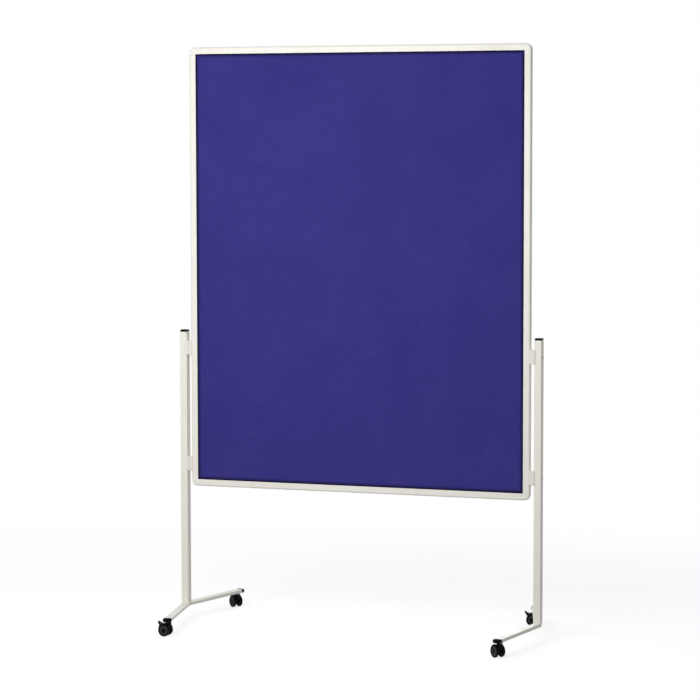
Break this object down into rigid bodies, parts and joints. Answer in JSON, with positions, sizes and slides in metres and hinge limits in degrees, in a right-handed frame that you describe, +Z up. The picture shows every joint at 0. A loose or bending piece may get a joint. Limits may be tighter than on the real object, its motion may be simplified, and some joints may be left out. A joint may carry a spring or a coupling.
{
  "type": "mobile pinboard",
  "caption": "Free-standing mobile pinboard: a blue felt board in a rounded white frame, held between side posts on splayed feet with twin-wheel swivel casters and brake pedals.",
  "frame": {"origin": "on the floor, under the middle of the board", "axes": "+Z up, +X to the right seen from the front, +Y to the back"},
  "size_m": [1.2846, 0.6238, 1.972],
  "materials": {
    "blue_felt": "short needled felt",
    "soft_board": "pressed soft fibre board",
    "frame_paint": "warm white powder coat",
    "corner_plastic": "satin moulding",
    "bracket_plastic": "satin moulding",
    "post_paint": "cream powder coat",
    "plug_plastic": "black moulding",
    "caster_plastic": "black nylon",
    "wheel_plastic": "black nylon",
    "plated_steel": "zinc plate"
  },
  "bodies": {
    "stand": {"bottom_rail": "frame_paint", "bracket_bolts": "post_paint", "clinch_nuts": "plated_steel", "core_panel": "soft_board", "corner_bottom_left": "corner_plastic", "corner_bottom_right": "corner_plastic", "corner_top_left": "corner_plastic", "corner_top_right": "corner_plastic", "front_felt": "blue_felt", "front_left_arm": "post_paint", "front_left_arm_plug": "plug_plastic", "front_left_stem": "plated_steel", "front_right_arm": "post_paint", "front_right_arm_plug": "plug_plastic", "front_right_stem": "plated_steel", "left_lower_bracket": "bracket_plastic", "left_post": "post_paint", "left_post_cap": "plug_plastic", "left_rail": "frame_paint", "left_upper_bracket": "bracket_plastic", "rear_felt": "blue_felt", "rear_left_arm": "post_paint", "rear_left_arm_plug": "plug_plastic", "rear_left_stem": "plated_steel", "rear_right_arm": "post_paint", "rear_right_arm_plug": "plug_plastic", "rear_right_stem": "plated_steel", "right_lower_bracket": "bracket_plastic", "right_post": "post_paint", "right_post_cap": "plug_plastic", "right_rail": "frame_paint", "right_upper_bracket": "bracket_plastic", "stem_bushes": "plated_steel", "top_rail": "frame_paint"},
    "front_left_caster": {"front_left_hood": "caster_plastic", "front_left_axle": "plated_steel"},
    "front_left_wheel_a": {"front_left_wheel_a": "wheel_plastic"},
    "front_left_wheel_b": {"front_left_wheel_b": "wheel_plastic"},
    "front_left_brake_pedal": {"front_left_brake_pedal": "caster_plastic"},
    "front_right_caster": {"front_right_hood": "caster_plastic", "front_right_axle": "plated_steel"},
    "front_right_wheel_a": {"front_right_wheel_a": "wheel_plastic"},
    "front_right_wheel_b": {"front_right_wheel_b": "wheel_plastic"},
    "rear_left_caster": {"rear_left_hood": "caster_plastic", "rear_left_axle": "plated_steel"},
    "rear_left_wheel_a": {"rear_left_wheel_a": "wheel_plastic"},
    "rear_left_wheel_b": {"rear_left_wheel_b": "wheel_plastic"},
    "rear_right_caster": {"rear_right_hood": "caster_plastic", "rear_right_axle": "plated_steel"},
    "rear_right_wheel_a": {"rear_right_wheel_a": "wheel_plastic"},
    "rear_right_wheel_b": {"rear_right_wheel_b": "wheel_plastic"},
    "rear_right_brake_pedal": {"rear_right_brake_pedal": "caster_plastic"}
  },
  "joints": [
    {"name": "front_left_swivel", "type": "hinge", "parent": "stand", "child": "front_left_caster", "pos_m": [-0.57547, -0.2864, 0], "axis": [0, 0, 1], "continuous": true},
    {"name": "front_left_wheel_a_spin", "type": "hinge", "parent": "front_left_caster", "child": "front_left_wheel_a", "pos_m": [-0.58644, -0.28563, 0.0205], "axis": [-0.0698, -0.9976, 0], "continuous": true},
    {"name": "front_left_wheel_b_spin", "type": "hinge", "parent": "front_left_caster", "child": "front_left_wheel_b", "pos_m": [-0.58644, -0.28563, 0.0205], "axis": [-0.0698, -0.9976, 0], "continuous": true},
    {"name": "front_left_brake_press", "type": "hinge", "parent": "front_left_caster", "child": "front_left_brake_pedal", "pos_m": [-0.60087, -0.28462, 0.03902], "axis": [-0.0698, -0.9976, 0], "range_deg": [0, 12]},
    {"name": "front_right_swivel", "type": "hinge", "parent": "stand", "child": "front_right_caster", "pos_m": [0.57547, -0.2864, 0], "axis": [0, 0, 1], "continuous": true},
    {"name": "front_right_wheel_a_spin", "type": "hinge", "parent": "front_right_caster", "child": "front_right_wheel_a", "pos_m": [0.56729, -0.27904, 0.0205], "axis": [-0.6691, -0.7431, 0], "continuous": true},
    {"name": "front_right_wheel_b_spin", "type": "hinge", "parent": "front_right_caster", "child": "front_right_wheel_b", "pos_m": [0.56729, -0.27904, 0.0205], "axis": [-0.6691, -0.7431, 0], "continuous": true},
    {"name": "rear_left_swivel", "type": "hinge", "parent": "stand", "child": "rear_left_caster", "pos_m": [-0.54728, 0.27987, 0], "axis": [0, 0, 1], "continuous": true},
    {"name": "rear_left_wheel_a_spin", "type": "hinge", "parent": "rear_left_caster", "child": "rear_left_wheel_a", "pos_m": [-0.55583, 0.28679, 0.0205], "axis": [-0.6293, -0.7771, 0], "continuous": true},
    {"name": "rear_left_wheel_b_spin", "type": "hinge", "parent": "rear_left_caster", "child": "rear_left_wheel_b", "pos_m": [-0.55583, 0.28679, 0.0205], "axis": [-0.6293, -0.7771, 0], "continuous": true},
    {"name": "rear_right_swivel", "type": "hinge", "parent": "stand", "child": "rear_right_caster", "pos_m": [0.54728, 0.27987, 0], "axis": [0, 0, 1], "continuous": true},
    {"name": "rear_right_wheel_a_spin", "type": "hinge", "parent": "rear_right_caster", "child": "rear_right_wheel_a", "pos_m": [0.53638, 0.27834, 0.0205], "axis": [0.1392, -0.9903, 0], "continuous": true},
    {"name": "rear_right_wheel_b_spin", "type": "hinge", "parent": "rear_right_caster", "child": "rear_right_wheel_b", "pos_m": [0.53638, 0.27834, 0.0205], "axis": [0.1392, -0.9903, 0], "continuous": true},
    {"name": "rear_right_brake_press", "type": "hinge", "parent": "rear_right_caster", "child": "rear_right_brake_pedal", "pos_m": [0.52206, 0.27632, 0.03902], "axis": [0.1392, -0.9903, 0], "range_deg": [0, 12]}
  ]
}
